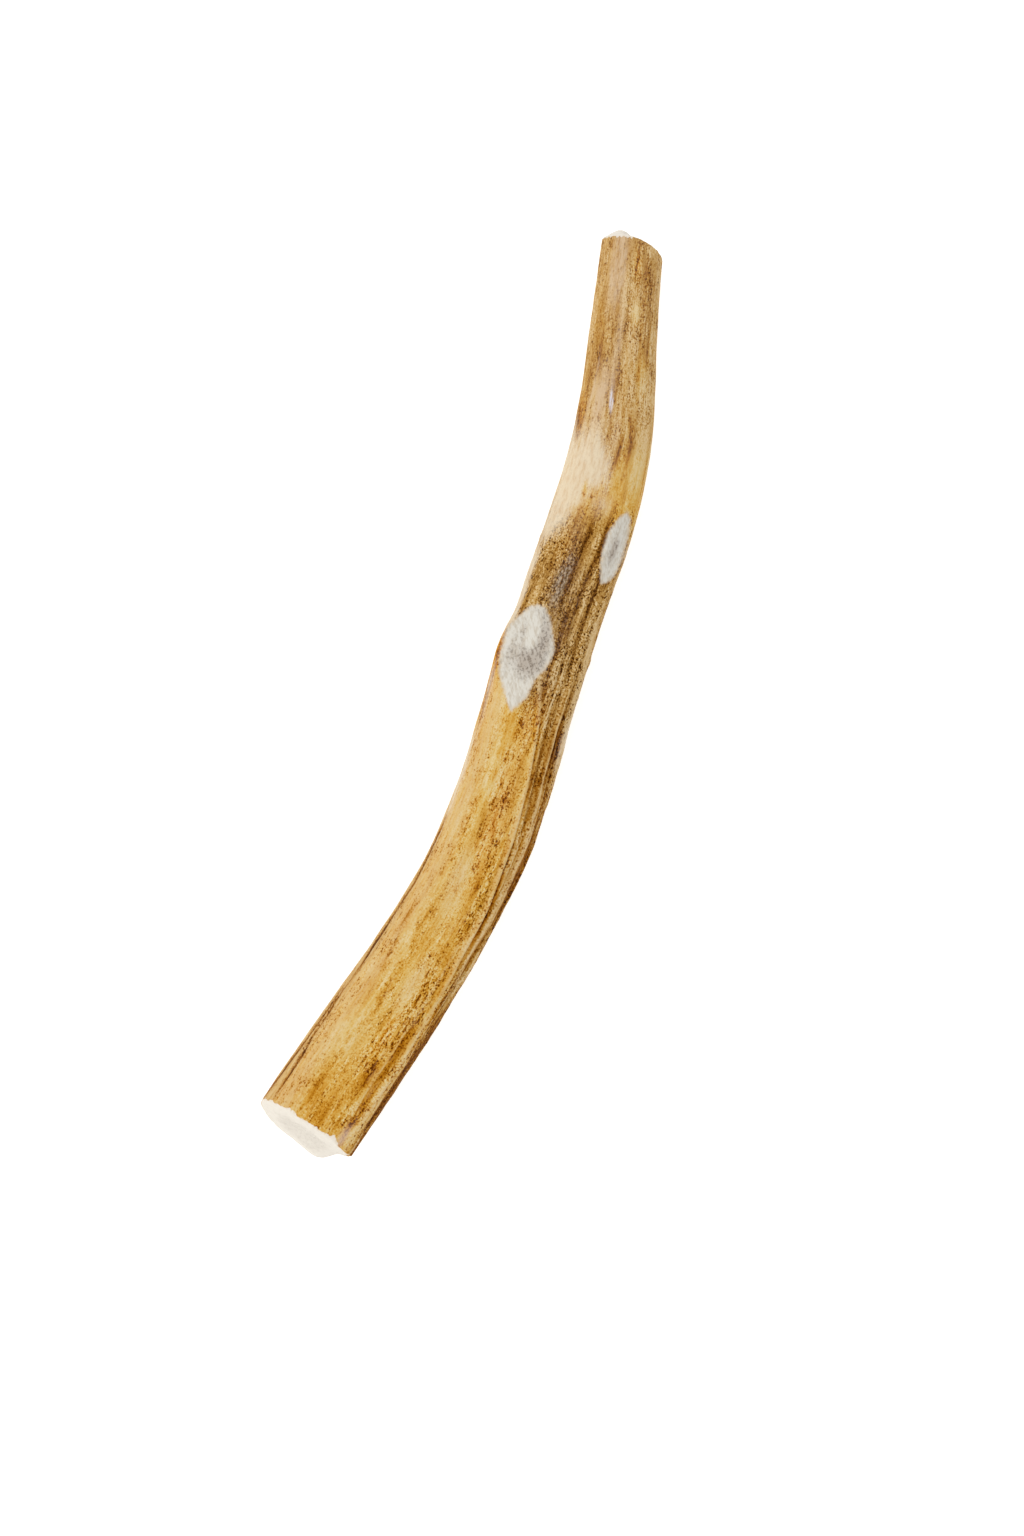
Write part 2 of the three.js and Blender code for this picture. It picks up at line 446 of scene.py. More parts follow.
# The height of each unevenness, and how long and how wide its waves are, with its seed.
UNEVENNESS = [(0.2, 15, 6.5, 7), (0.06, 5, 2.2, 8), (0.025, 1.8, 0.6, 9)]
FLUTE_HEIGHT = 0.22
FURROW_DEPTH = 0.34
CREASE_DEPTH = 0.16
PEARL_HEIGHT = 0.16
# Where the lower corners of the thick end are knocked off: angle, spread, depth, and how far in.
LOWER_CORNERS = [(-122, 26, 1.3, 11), (128, 24, 0.5, 9)]
WORN_OFF = [(141, 4.6, 15, 4.5, 0, 1), (142, -1, 5, 3, 0, 1)]
CREST = [(-4, -8.7), (20, -8.6), (30, -8.2), (36, -7.6), (43, -7), (53, -6.5), (63, -5.75),
         (73, -5.2), (83, -3.95), (93, -2.8), (98, -1.6), (104, 0.6)]
# Points along and left; half width, height of the relief, change of tone, and share of cream.
LINES = [
    # crests and gutters of the flank
    (CREST, 0.32, 0.28, 0.2, 0.7),
    ([(42, -6.7), (53, -6.1), (60, -5.7), (70, -5.2), (78, -4.5)], 0.55, 0.04, 0.08, 0.5),
    ([(6, -10), (14, -10.05), (24, -9.85), (34, -9.3), (42, -9), (52, -8.8)], 0.34, -0.5, -0.42, 0),
    ([(1, -7.1), (14, -7.05), (24, -6.95), (34, -6.9), (42, -6.2)], 0.85, -0.14, -0.36, 0),
    ([(2, -8.3), (14, -8.3), (24, -8.2), (36, -7.7), (44, -7.1)], 0.45, 0.05, 0.3, 0.35),
    ([(6, -6.05), (20, -6), (34, -5.7), (48, -5.2)], 0.18, 0.08, 0.2, 0.6),
    ([(24, -8.5), (34, -8.35), (46, -8)], 0.13, -0.1, -0.5, 0),
    ([(4, -9.2), (16, -9.25), (28, -9.1), (38, -8.7)], 0.16, 0.1, 0.2, 0.6),
    ([(2, -7.75), (18, -7.7), (30, -7.65), (40, -7.3)], 0.14, -0.1, -0.4, 0),
    ([(8, -6.45), (22, -6.4), (36, -6.2)], 0.13, -0.08, -0.3, 0),
    ([(28, -8), (43, -7.55), (52, -7.2), (59, -6.75)], 0.2, -0.35, -0.5, 0),
    ([(50, -7.2), (59, -6.75), (70, -6.1), (76, -5.4), (82, -4.8), (88, -4), (96, -2.9)],
     0.32, -0.3, -0.5, 0),
    ([(40, -8.4), (52, -8), (62, -8.2), (70, -8.15), (77, -7.7), (85, -7), (95, -6.7)],
     0.22, 0.22, 0.4, 0.65),
    ([(48, -7.7), (60, -7.6), (70, -7.2), (80, -6.1), (88, -5.3), (98, -4.6)], 0.32, -0.18, -0.1, 0),
    ([(60, -7.1), (70, -6.6), (80, -5.6), (88, -4.7)], 0.2, 0.15, 0.3, 0.15),
    ([(54, -9.2), (60, -9.1), (68, -9.2), (76, -9.05), (84, -8.4), (94, -7.6)], 0.48, -0.4, -0.5, 0),
    ([(83, -9.4), (93, -8.9), (100, -8.5), (108, -8.2), (116, -7.8)], 0.5, 0.15, 0.3, 0.9),
    ([(90, -8.3), (100, -7.9), (110, -7.6)], 0.15, -0.1, -0.4, 0),
    ([(84, -7.2), (92, -6.9), (102, -6.8)], 0.14, 0.1, 0.35, 0.3),
    ([(52, -7), (62, -6.5), (72, -5.9)], 0.13, -0.1, -0.4, 0),
    ([(46, -8.1), (56, -7.75), (66, -7.6)], 0.12, 0.08, 0.35, 0.3),
    ([(84, -6.2), (92, -6), (100, -5.7), (108, -5.6)], 0.35, -0.2, -0.1, 0),
    ([(98, -8.6), (108, -8.3), (120, -8.3), (132, -8.5)], 0.25, -0.2, -0.25, 0),
    # dark stripes between the stumps
    ([(104, -6), (112, -5.3), (118, -5.4), (126, -5.35)], 0.45, -0.2, -0.42, 0),
    ([(106, -2.4), (112, -2.7), (118, -2.8), (126, -3), (133, -3.3)], 0.45, -0.15, -0.44, 0),
    ([(109, -2.6), (113, -1.9), (116.5, -1.2)], 0.7, -0.1, -0.4, 0),
    ([(124, 0.9), (129, 0.2), (134, 0.1)], 0.5, -0.05, -0.4, 0),
    ([(117, 0.6), (124, 0.1), (132, -0.2), (138, -0.6)], 0.5, -0.12, -0.45, 0),
    ([(108, -4.2), (118, -4.1), (126, -3.8)], 0.4, 0.12, 0.36, 0.15),
    ([(118, -1.5), (126, -1.5), (134, -1.9)], 0.4, 0.06, 0.24, 0.1),
    ([(109, 6.9), (116, 7.3), (124, 7.1)], 0.22, -0.15, -0.3, 0),
    ([(96, -4), (104, -3.9), (112, -4.4)], 0.3, -0.2, -0.2, 0),
    # thin lines and soft edge of the other side
    ([(2, 8.9), (8, 8.9), (12, 8.8), (16, 9.2), (24, 9.35), (34, 9.3), (44, 9.2)],
     0.18, -0.14, -0.75, 0),
    ([(0, 10.6), (8, 10.4), (12, 10.15), (18, 9.9), (27, 9.85)], 0.22, -0.2, -0.75, 0),
    ([(4, 9.7), (14, 9.5), (22, 9.6), (30, 9.6)], 0.25, 0.1, 0.1, 0.5),
    ([(36, 9.45), (44, 9.3), (52, 9.15), (60, 8.95), (72, 8.9)], 0.22, -0.15, -0.65, 0),
    ([(88, 8.85), (96, 8.75), (101, 8.9), (104, 9.25), (108, 8.9), (112, 8.4)], 0.24, -0.18, -0.75, 0),
    # streaks of the thin part
    ([(146, -4), (151, -4.1), (154, -3.6), (158, -2.6)], 0.36, 0, -0.5, 0),
    ([(145, -1.4), (149, -1.9), (153, -2.2)], 0.38, 0, -0.5, 0),
    ([(153.5, -3.1), (157.5, -2.9)], 0.3, -0.04, -0.3, 0),
    ([(156, -1.5), (159, -1.3), (163, -0.9)], 0.24, -0.06, -0.42, 0),
    ([(151, 0.3), (154, 0.7), (158, 0.9)], 0.3, 0, -0.24, 0),
    ([(168, -5.1), (172, -5.1)], 0.35, -0.04, -0.3, 0),
    ([(161, 0.25), (166, 0.4)], 0.25, -0.05, -0.22, 0),
    ([(166, -5.2), (170, -5.3), (174, -5.2)], 0.28, -0.05, -0.24, 0),
    ([(184.5, -1.25), (190.5, -1.35)], 0.22, -0.08, -0.36, 0),
    ([(176, -6.3), (184, -6.1)], 0.25, -0.05, -0.2, 0),
    ([(148, 7.2), (154, 7), (160, 6.5), (167, 6)], 0.5, 0, -0.4, 0),
    ([(164, 4.3), (176, 4.5), (190, 5.2)], 0.6, 0, -0.16, 0),
    ([(153, 5.9), (158, 5.3), (166, 4.2)], 0.2, 0.05, 0.2, 0.7),
]
strokes = [(stroke(points, width), *effects) for points, width, *effects in LINES]

# Which skin is where, 0 to 1: the underside, the flank's gutters, the dark skin between the
# stumps and the thin part, and from those how grooved and how pearled the beam is.
crest_left = np.interp(seen_along, *np.array(CREST).T)
beside_crest = ease(0.2, 1.4, crest_left - seen_left)
below = ease(92, 112, np.abs(angle))
flank = np.maximum(beside_crest * upper, ease(84, 96, -angle)) * ease(-128, -106, -seen_along)
flank *= ease(-165, -150, -np.abs(angle))
between_stumps = ease(90, 103, seen_along) * (1 - ease(130, 143, seen_along + 0.8 * grain(4, 3, 2)))
between_stumps *= ease(3.2, 1.0, seen_left - ease(96, 112, seen_along) * 7) * upper
thin_part = ease(138, 152, along)
grooved = 0.1 + 0.9 * flank + 0.35 * between_stumps + 0.25 * thin_part
grooved += 0.65 * below * (1 - flank) * (1 - 0.4 * thin_part)
grooved = np.clip(grooved, 0, 1)

flutes = grain(44, 2.5, 3)
furrows = np.clip((grain(30, 1.05, 4) - 0.08) / 0.3, 0, 1)
creases = np.clip(1 - np.abs(grain(36, 1.7, 5)) / 0.1, 0, 1)
pearls = np.clip((grain(3.2, 1.5, 6) - 0.2) / 0.4, 0, 1)
pearled = 0.5 * below + between_stumps + 0.4 * flank
pearled *= 1 - np.clip(patches(WORN_OFF), 0, 1)

relief = sum(height * grain(*size) for height, *size in UNEVENNESS)
for swells, side in ((FLANK_SWELLS, -92), (FAR_SWELLS, 92)):
    swell = np.interp(along, *np.array(swells).T)
    relief += swell * hump(turn_between(angle, side), SIDE_SPREAD)
relief += grooved * (FLUTE_HEIGHT * flutes - FURROW_DEPTH * furrows - CREASE_DEPTH * creases)
relief += pearled * (PEARL_HEIGHT * pearls + 0.05 * grain(1.3, 0.8, 10))
for line, height, _, _ in strokes:
    relief += height * line
for at, spread, depth, inwards in LOWER_CORNERS:
    relief -= depth * hump(turn_between(angle, at), spread) * ease(inwards, -1, along)

# ---------------------------------------------------------------------------- stumps of tines
# Two tines grew here, a large one upwards and a small one out of the flank. Each was sawn off
# and its stump ground flat, which shows the white bone and, inside it, the grey marrow.
GROUND_EDGE = 0.9
PROUD_EDGE = 0.3
FAR = -50.0


def inside(outline):
    """How far each seen place lies inside an outline; less than nought outside it."""
    nearest = np.full(len(seen_along), 1e9)
    crossings = np.zeros(len(seen_along), int)
    corners = np.array(outline, float)
    for (x, y), (next_x, next_y) in zip(corners, np.roll(corners, -1, 0)):
        side_x, side_y = next_x - x, next_y - y
        off_x, off_y = seen_along - x, seen_left - y
        part = (off_x * side_x + off_y * side_y) / (side_x * side_x + side_y * side_y)
        part = np.clip(part, 0, 1)
        nearest = np.minimum(nearest, np.hypot(off_x - part * side_x, off_y - part * side_y))
        if side_y:
            level = (y > seen_left) != (next_y > seen_left)
            crossings += level & (off_x < off_y * side_x / side_y)
    distance = np.where(crossings % 2 == 1, nearest, -nearest) - 4 * ease(1.2, -1.2, ground * cosine)
    return np.where(upper > 0.01, distance, FAR)


bone = np.full(len(along), FAR)
marrow = np.full(len(along), FAR)
reach = reach + relief
for stump in (UPPER_STUMP, FLANK_STUMP):
    within = inside(stump["outline"])
    flat = np.minimum(ground_flat(stump) + 0.02 * grain(2.5, 9, 11), reach + PROUD_EDGE)
    reach += (flat - reach) * np.exp(np.minimum(within, 0) / GROUND_EDGE)
    bone = np.maximum(bone, within)
    marrow = np.maximum(marrow, np.where(within > -1, 3 * patches(stump["marrow"]) - 1.5, FAR))

# ---------------------------------------------------------------------------- the sawn faces
# The saw left fine even scratches over each face and broke crumbs of bark off its rim. The
# marrow in the middle is a sponge of bone, a little lower than the dense bone round it.
RIM_ROUND = 0.55
SCRATCH_PITCH = 0.9
SCRATCH_DEPTH = 0.02
SCRATCHES_CROSS = (0.8, 0.6)
MARROW_SHARE = {"thick": 0.56, "thin": 0.5}
MARROW_DEPTH = 0.1
WANDERING = 0.45
PORE_FINENESS = 1.9
BARK_AT_RIM = 0.35
SIDE_NEAR_RIM = 12
LEAST_CHIPPED, MOST_CHIPPED = 0.05, 1.8

for _ in range(3):
    along = between_cuts(np.where(is_side, reach, grown(along, angle)))
left, up = reach * sine, reach * cosine

# How far in from each rim the bark is broken off, in millimetres.
chipped = 0.5 + 0.7 * grain(60, 1.9, 12) + 0.5 * grain(60, 0.5, 13)
chipped = np.clip(chipped, LEAST_CHIPPED, MOST_CHIPPED)
upper_thick = (upper > 0.5) * at_thick
chipped += 0.4 * hump(seen_left + 5.6, 1.3) * upper_thick
chipped -= 0.7 * ease(-6.6, -7.6, seen_left) * upper_thick
least = LEAST_CHIPPED - 0.7 * ease(-7.8, -8.8, seen_left) * upper_thick
chipped = np.maximum(chipped, least)

ENDS = (("thick", at_thick, thick_end, -1), ("thin", at_thin, thin_end, 1))
for name, there, end, outward in ENDS:
    rim = np.flatnonzero(there & is_side)
    rim = rim[np.argsort(angle[rim])]
    around = np.concatenate((angle[rim] - 360, angle[rim], angle[rim] + 360))

    def at_rim(values):
        """A value of the rim, carried to every vertex by its angle."""
        return np.interp(angle, around, np.tile(values[rim], 3))

    rim_reach = at_rim(reach)
    cut = there & ~is_side
    left[cut] = (share * rim_reach * sine)[cut]
    up[cut] = (share * rim_reach * cosine)[cut]
    face = end(left, up)
    depth = rim_reach * (1 - share)
    across = zip(left * WANDERING, up * WANDERING)
    uneven = np.array([noise.noise((y, z, outward * 4.0)) for y, z in across])
    core = (MARROW_SHARE[name] - share) * rim_reach * there + 1.2 * uneven
    pits = np.zeros(len(along))
    across = zip(left[cut] * PORE_FINENESS, up[cut] * PORE_FINENESS)
    pits[cut] = [noise.noise((y, z, 9.0)) for y, z in across]
    passes = (left * SCRATCHES_CROSS[0] + up * SCRATCHES_CROSS[1]) / SCRATCH_PITCH
    scratches = np.sin(math.tau * passes + 3 * uneven)
    sunk = MARROW_DEPTH * ease(-0.5, 1.2, core) * (0.6 + 1.1 * np.abs(pits))
    face = face + outward * (SCRATCH_DEPTH * scratches * ease(0, 1, depth) - sunk)
    along[cut] = face[cut]

    # The rim is rubbed round: side and face bend towards each other over the same length.
    face_at_rim = end(rim_reach * sine, rim_reach * cosine)
    from_rim = outward * (face_at_rim - along)
    rounding = RIM_ROUND * (0.7 + 0.45 * at_rim(chipped))
    slope = face_at_rim - end(0.9 * rim_reach * sine, 0.9 * rim_reach * cosine)
    slope = slope / (0.1 * rim_reach)
    side_turn = np.where(is_side & (from_rim < rounding), (1 - from_rim / rounding) / 2, 0)
    face_turn = np.where(cut & (depth < rounding), (1 - depth / rounding) / 2, 0)
    turned = (side_turn + face_turn) ** 2 * rounding
    along = along - turned * (outward + slope)
    left = left - turned * sine
    up = up - turned * cosine

    near = is_side & (np.abs(from_rim) < SIDE_NEAR_RIM)
    white = at_rim(chipped) - BARK_AT_RIM
    bone = np.where(near, np.maximum(bone, white - from_rim), bone)
    bone[cut] = (white + depth)[cut]
    marrow[cut] = core[cut]

shape = bent(along, left, up)
shape[:, 2] -= shape[:, 2].min()
antler.data.vertices.foreach_set("co", (shape * MM).ravel())
antler.data.update()
bpy.ops.object.select_all(action="DESELECT")
antler.select_set(True)
bpy.context.view_layer.objects.active = antler
bpy.ops.object.shade_smooth()

# ---------------------------------------------------------------------------- the skin's colour
# The bark took its colour from plant sap and dirt: straw on the worn upper face, brown in the
# gutters, dark round the tines, and rubbed back to cream where the beam is proudest.

# Tones run from 0, dark, to 1, pale. A soft oval's last number is how much it changes the tone,
# or how much of a colour or finish it brings.
MIDDLE_TONE = 0.5
DARKEST_TONE = 0.12
PALE_TONE = 0.86
PALE_FADE = 0.2
TONE_ACROSS = [(-6, 0.56), (-5, 0.57), (-3, 0.61), (0, 0.69), (2, 0.7), (4.5, 0.73), (6.6, 0.72),
               (8.5, 0.68)]
TONE_OF_LINES = 0.6
STAINS = [
    # dark stains
    (3, 4.6, 2.4, 0.9, 0, -0.07), (3.5, -5, 2, 0.8, 0, -0.14), (4, 0.9, 3.5, 1.2, 0, -0.1),
    (4.5, -1.4, 4.5, 0.55, 4, -0.2), (7.5, -2.6, 2, 0.35, 6, -0.26), (8, 5.4, 3.5, 0.6, 4, -0.1),
    (8.5, 2.9, 3.4, 0.45, 2, -0.24), (10, -4.4, 2.2, 0.4, 3, -0.16), (10, -0.9, 5, 0.35, 3, -0.14),
    (14.5, -4.8, 1.6, 0.5, 0, -0.25), (15.5, -4, 3.6, 0.5, 4, -0.16), (16, -4.9, 3, 0.7, 0, -0.3),
    (20, 0.8, 1.4, 0.4, 3, -0.12), (23, -3.2, 5, 0.5, 3, -0.1), (24, -2.4, 0.7, 0.25, 8, -0.3),
    (26, -0.6, 2.5, 0.4, 8, -0.16), (29, -4.4, 4, 0.35, 2, -0.13), (30, 4.6, 5, 0.4, 3, -0.15),
    (33, 2.2, 4.5, 0.8, 2, -0.12), (33.5, -4.2, 1.6, 0.3, 4, -0.26), (35, 5.3, 4, 0.35, 3, -0.12),
    (40, 5.8, 3.2, 0.35, 2, -0.22), (43, -3.6, 3, 0.9, 4, -0.13), (44, 0.6, 3, 1.1, 0, -0.08),
    (47.5, 6.7, 3, 0.3, 3, -0.18), (48.5, -2.7, 1.6, 0.4, 4, -0.18), (49, -1.4, 2.2, 0.45, 4, -0.16),
    (52, -4.9, 5.5, 0.35, 5, -0.12), (54, 6, 4, 0.3, 2, -0.12), (56.5, 6.6, 1.6, 0.25, 8, -0.2),
    (58.5, -2.7, 1.5, 0.35, 2, -0.34), (60, -2.2, 4.5, 0.7, 4, -0.15), (65, -4.6, 2.4, 0.4, 10, -0.2),
    (67, 1.1, 2, 0.35, 10, -0.18), (69, -1.4, 2.2, 0.35, 5, -0.22), (72, -0.6, 2.6, 0.45, 8, -0.2),
    (72, 1.8, 2.8, 0.5, 8, -0.22), (74.5, 4.4, 2.2, 0.8, 0, -0.1), (76, -1.2, 2, 0.5, 4, -0.16),
    (79.4, 0.5, 0.9, 0.35, 0, -0.42), (81, 2.7, 1.6, 0.6, 0, -0.15), (82, 0.4, 1.3, 0.35, 0, -0.26),
    (84, -1.7, 1.8, 0.4, 3, -0.16), (85.5, 3.2, 1.5, 0.5, 0, -0.12), (89.5, 0.9, 1.4, 0.4, 0, -0.2),
    (91, -0.8, 2.4, 0.6, 2, -0.16), (92, 6.6, 1.2, 0.3, 0, -0.16), (92.5, 2.2, 1.2, 0.4, 0, -0.2),
    (96, -0.8, 4, 0.8, -8, -0.28), (99.6, 6.2, 0.5, 0.25, 0, -0.2), (101, -1.6, 4, 0.7, -5, -0.24),
    (108.5, -3, 4.5, 1.6, 0, -0.12), (111.5, -2.4, 4.5, 1.2, 3, -0.2), (115.5, 1.2, 3, 1, 3, -0.16),
    (117.5, 4, 3.6, 0.7, -4, -0.22), (128, 1, 4, 1, 3, -0.1), (128.5, 8.2, 0.9, 0.3, 0, -0.24),
    (133, -4.15, 0.5, 0.3, 0, -0.3), (135.5, -0.4, 3.5, 1.1, 0, -0.16), (136.5, -3.6, 2, 0.5, 0, -0.2),
    (137, 2.6, 3, 0.7, 12, -0.12), (140, 2.9, 2.2, 0.35, 12, -0.14), (142.4, 3.4, 0.35, 0.25, 0, -0.36),
    (148.5, -1.7, 3.2, 0.8, -3, -0.14), (150.5, -3.2, 4.5, 1.6, -4, -0.1), (154, 7.1, 5, 0.8, 2, -0.14),
    (165, -6.2, 1.4, 0.5, 0, -0.12), (167.3, 3.1, 0.3, 0.55, 0, -0.34), (172, -4, 5, 1, 0, -0.08),
    (173.8, 0.8, 0.8, 1.5, 0, -0.14), (178, -1.6, 3, 1.1, 0, -0.08), (186, -3.2, 3, 0.5, 0, -0.14),
    (190.5, 4.3, 0.8, 0.4, 0, -0.2),
    # streaks and blots of the thin part
    (149, -1.9, 2.4, 0.55, 0, -0.2), (151, -3.7, 5, 0.8, -4, -0.14), (153, 7, 3.5, 0.6, 2, -0.14),
    (159, 6.3, 6, 0.7, 2, -0.12), (163, 0.8, 2.2, 0.6, 0, -0.14), (165, -3.6, 1.2, 0.5, 0, -0.18),
    (168.5, 4.2, 2.6, 0.6, 0, -0.12), (171, -5, 4.5, 0.5, 0, -0.16), (182, -5, 8, 0.9, 0, -0.14),
    (187, -2.6, 3.5, 1.2, 0, -0.08), (190, 4.3, 1.2, 0.5, 0, -0.16),
    # broad, faint darkening, which mostly evens a stretch out to its own average tone
    (3, 2.2, 6, 1.2, 0, -0.06), (4, 1, 6, 2.5, 0, -0.07), (5, 6.6, 6, 1, 0, -0.09),
    (30, 8.8, 10, 1, 0, -0.12), (35, 4.4, 6, 1.2, 0, -0.1), (46, 6.6, 6, 0.9, 0, -0.25),
    (67, -7.35, 7, 0.5, 3, -0.07), (78, -2.8, 12, 1.2, 6, -0.06), (82, 2, 6, 1.3, 0, -0.04),
    (88, -0.4, 12, 1.3, 6, -0.05), (88, -2.8, 11, 1.2, 7, -0.12), (94, -2.6, 6, 1.2, 6, -0.06),
    (112, -2.2, 3, 1, 0, -0.1), (114, -2.8, 6, 0.9, 0, -0.02), (118, -2.8, 6, 0.9, 0, -0.05),
    (118, -0.4, 6, 1, 0, -0.04), (121.5, 1.6, 5, 1.3, 0, -0.12), (122, -0.4, 7, 0.9, 0, -0.06),
    (125, 2, 9, 2, 0, -0.06), (130, 2, 6, 1.3, 0, -0.18), (166, 4.4, 7, 1.2, 0, -0.13),
    (166, 2, 7, 1.1, 0, -0.09), (168, 3.9, 8, 0.9, 0, -0.06), (170, 2, 13, 1.2, 0, -0.06),
    (177, -3, 8, 1, 0, -0.08), (178, -2.8, 6, 1.1, 0, -0.05), (184, -4.3, 4, 0.7, 0, -0.1),
    (188, -0.4, 4, 1.3, 0, -0.07),
    # paler places; the broad ones mostly even a stretch out to its own average tone
    (3, -9.8, 4, 0.7, 0, 0.18), (5, -4.8, 6, 1.2, 0, 0.08), (6, -5, 5, 1, 0, 0.1),
    (14, -6, 6, 0.5, 0, 0.05), (19, 3.8, 5, 1.6, 0, 0.07), (32, -4.6, 9, 1.2, 0, 0.05),
    (33, -6.7, 9, 1, 0, 0.05), (34, -1.4, 5.5, 1.7, 0, 0.09), (35, -2.7, 6, 1.2, 0, 0.26),
    (35, -0.5, 6, 1.3, 0, 0.09), (35, -7.1, 6, 0.9, 0, 0.18), (40, -9, 10, 0.6, 2, 0.08),
    (40, -9.5, 10, 0.6, 0, 0.15), (44, -2.8, 6, 1.2, 4, 0.05), (44, -0.8, 4, 1, 0, 0.06),
    (44, -9.7, 9, 0.4, 0, 0.35), (46, -9.2, 6, 0.8, 0, 0.06), (56, -4.2, 7, 1, 6, 0.06),
    (56, -7.4, 6, 0.9, 3, 0.04), (57, 4.6, 10, 1.6, 2, 0.06), (58, 1.6, 7, 2.2, 4, 0.1),
    (58, -7, 7, 1, 5, 0.08), (58, -5, 6.5, 0.9, 5, 0.09), (62, -4.6, 9, 0.9, 6, 0.07),
    (64, -7, 12, 1.1, 6, 0.1), (69, -7, 9.6, 1.1, 6, 0.16), (75, -7.5, 16, 2, 0, 0.06),
    (76, -9.2, 4, 0.5, 0, 0.12), (82, -9, 5, 0.7, 0, 0.1), (84, -2.9, 9, 0.8, 9, 0.08),
    (84, -9.2, 13, 0.4, 0, 0.16), (90, 5, 10, 2.2, 0, 0.08), (94, -5.3, 6, 0.9, 6, 0.08),
    (94, -9, 7, 0.8, 0, 0.26), (94, -5, 11, 2.6, 0, 0.2), (96, -8.9, 10, 0.6, 3, 0.14),
    (100, -5, 8.5, 0.9, 0, 0.13), (103, -4.6, 5, 0.6, 0, 0.14), (104, -2.4, 5, 0.9, -6, 0.12),
    (106, -2.9, 6, 0.9, 0, 0.32), (106, -7.2, 7, 1, 0, 0.12), (107, -8.8, 7, 0.8, 0, 0.14),
    (112, -8.6, 13, 1.1, 0, 0.12), (112, -6.6, 14, 2.4, 0, 0.2), (112, -4, 9, 1.4, 0, 0.14),
    (112, -7, 12, 1, 0, 0.08), (118, -7.2, 7, 1, 0, 0.08), (121, -4, 4.5, 0.5, 0, 0.16),
    (122, -8.9, 13, 0.9, 0, 0.08), (130, -9, 9, 1, 0, 0.25), (130, -2.4, 6.5, 0.8, 0, 0.14),
    (131, 4.6, 4, 0.8, -4, 0.08), (142, -6.2, 6, 2.2, 0, 0.05), (142, -5, 7, 1.6, 0, 0.05),
    (144, -5.5, 8, 3.5, 0, 0.1), (148, -7, 12, 1.2, 0, 0.1), (150, -6.4, 8, 1.4, 0, 0.06),
    (151, -2.7, 7, 1.1, 0, 0.14), (156, -7, 8, 0.8, 2, 0.04), (158, -5, 9, 0.9, 2, 0.08),
    (160, 6.8, 5, 0.7, 2, 0.04), (164, -2.6, 8, 1.6, 0, 0.12), (164, -0.4, 8, 1.4, 0, 0.13),
    (166, -6.4, 9, 1.2, 0, 0.14), (166, 6.6, 6, 0.8, 0, 0.05), (172, -2.8, 4, 0.5, 0, 0.1),
    (172, -7.2, 10, 0.8, 3, 0.05), (177, -2.2, 2, 0.8, 0, 0.12), (178, 6.4, 14, 1.2, 3, 0.1),
    (178.2, -2.1, 1.4, 0.9, 0, 0.14), (181, 0.6, 5, 0.6, 0, 0.1), (182, -6, 10, 1, 3, 0.16),
    (182, -0.4, 9, 1.4, 0, 0.06), (182, -2.6, 2.6, 0.6, 0, 0.1), (185.6, -2, 2.4, 0.4, 0, 0.1),
]
SAP_PLACES = [
    (15, 4.4, 6, 1.3, 0, -0.4), (25, -2.8, 6, 1.2, 0, 0.75), (26, -0.4, 7, 1.4, 0, -0.3),
    (34, -0.4, 6, 1.2, 0, -0.2), (58, -5, 6.5, 1, 0, -0.6), (60, -7.5, 16, 1.6, 0, 0.5),
    (64, -0.4, 14, 1.4, 0, 0.85), (67, -7.4, 9, 1, 0, 0.35), (70, 2, 7, 1.2, 0, -0.4),
    (72, -5.2, 6, 1, 0, 0.3), (82, 2, 6, 1.3, 0, 0.4), (82, -2.8, 8, 1.2, 0, -0.3),
    (94, -5, 8, 1.2, 0, -0.3), (98, -2, 7, 3, 0, 0.6), (100, 9, 10, 0.5, 0, 0.6),
    (130, 3.2, 7, 2, 0, 0.8), (154, -0.4, 6, 1.2, 0, 0.9), (155, -3, 6, 1.6, 0, 0.3),
    (156, 7, 5, 0.6, 0, 0.2), (174, 4.9, 6, 0.7, 0, 0.2), (178, -2.8, 6, 1.2, 0, 0.55),
    (178.3, -2.2, 1.4, 0.9, 0, 0.9), (185.6, -2, 2.4, 0.4, 0, 0.9),
]
CREAM_PLACES = [(36, -1.6, 6, 1.5, 0, 0.5), (58, 1.6, 7, 1.8, 6, 0.5), (76, -0.8, 13, 2.6, 0, 0.24)]
STRAW_PLACES = [
    (156, 6.8, 7, 0.8, 2, 0.39), (166, -4.2, 5, 1.2, 0, 0.4), (171, 4.4, 7, 0.8, 2, 0.1),
    (177, -2.2, 2.2, 0.9, 0, 0.6), (187, -1.4, 4, 0.9, 0, 0.6),
]
# Pale edges: the four at 8 to 9 mm to the left lie on the lamp's side and are painted light, the lit
# edge made pale; the two at about 9 mm to the right are rubbed wear.
RUBBED_AND_LIT_EDGES = [
    (78, 9, 12, 1, 0, 0.75), (96, 8.9, 9, 1, 0, 0.5), (119, 8.8, 12, 1, 0, 1.05),
    (146, 8, 9, 1, 0, 0.9), (130, -8.9, 7, 1, 0, 0.4), (93, -9.2, 8, 1, 0, 0.65),
]
ROSY_PLACES = [
    (2.4, -7.1, 2.8, 0.75, 0, 0.7), (134, 2.6, 4, 1.6, 0, 0.3), (139, -0.8, 2.6, 2.2, 0, 0.8),
    (153, -0.6, 4, 0.8, 0, 0.35), (160, 3.4, 6.5, 1.3, -6, 1), (170, 0.8, 10, 0.8, 0, 0.5),
    (187, 2.4, 7.5, 1.4, -2, 1.7),
]
ROSY_LINE = [(154, 6.2), (160, 5.3), (167, 4.4)]
GREY_PLACE = (122, 1.9, 5.5, 1.25, -3)
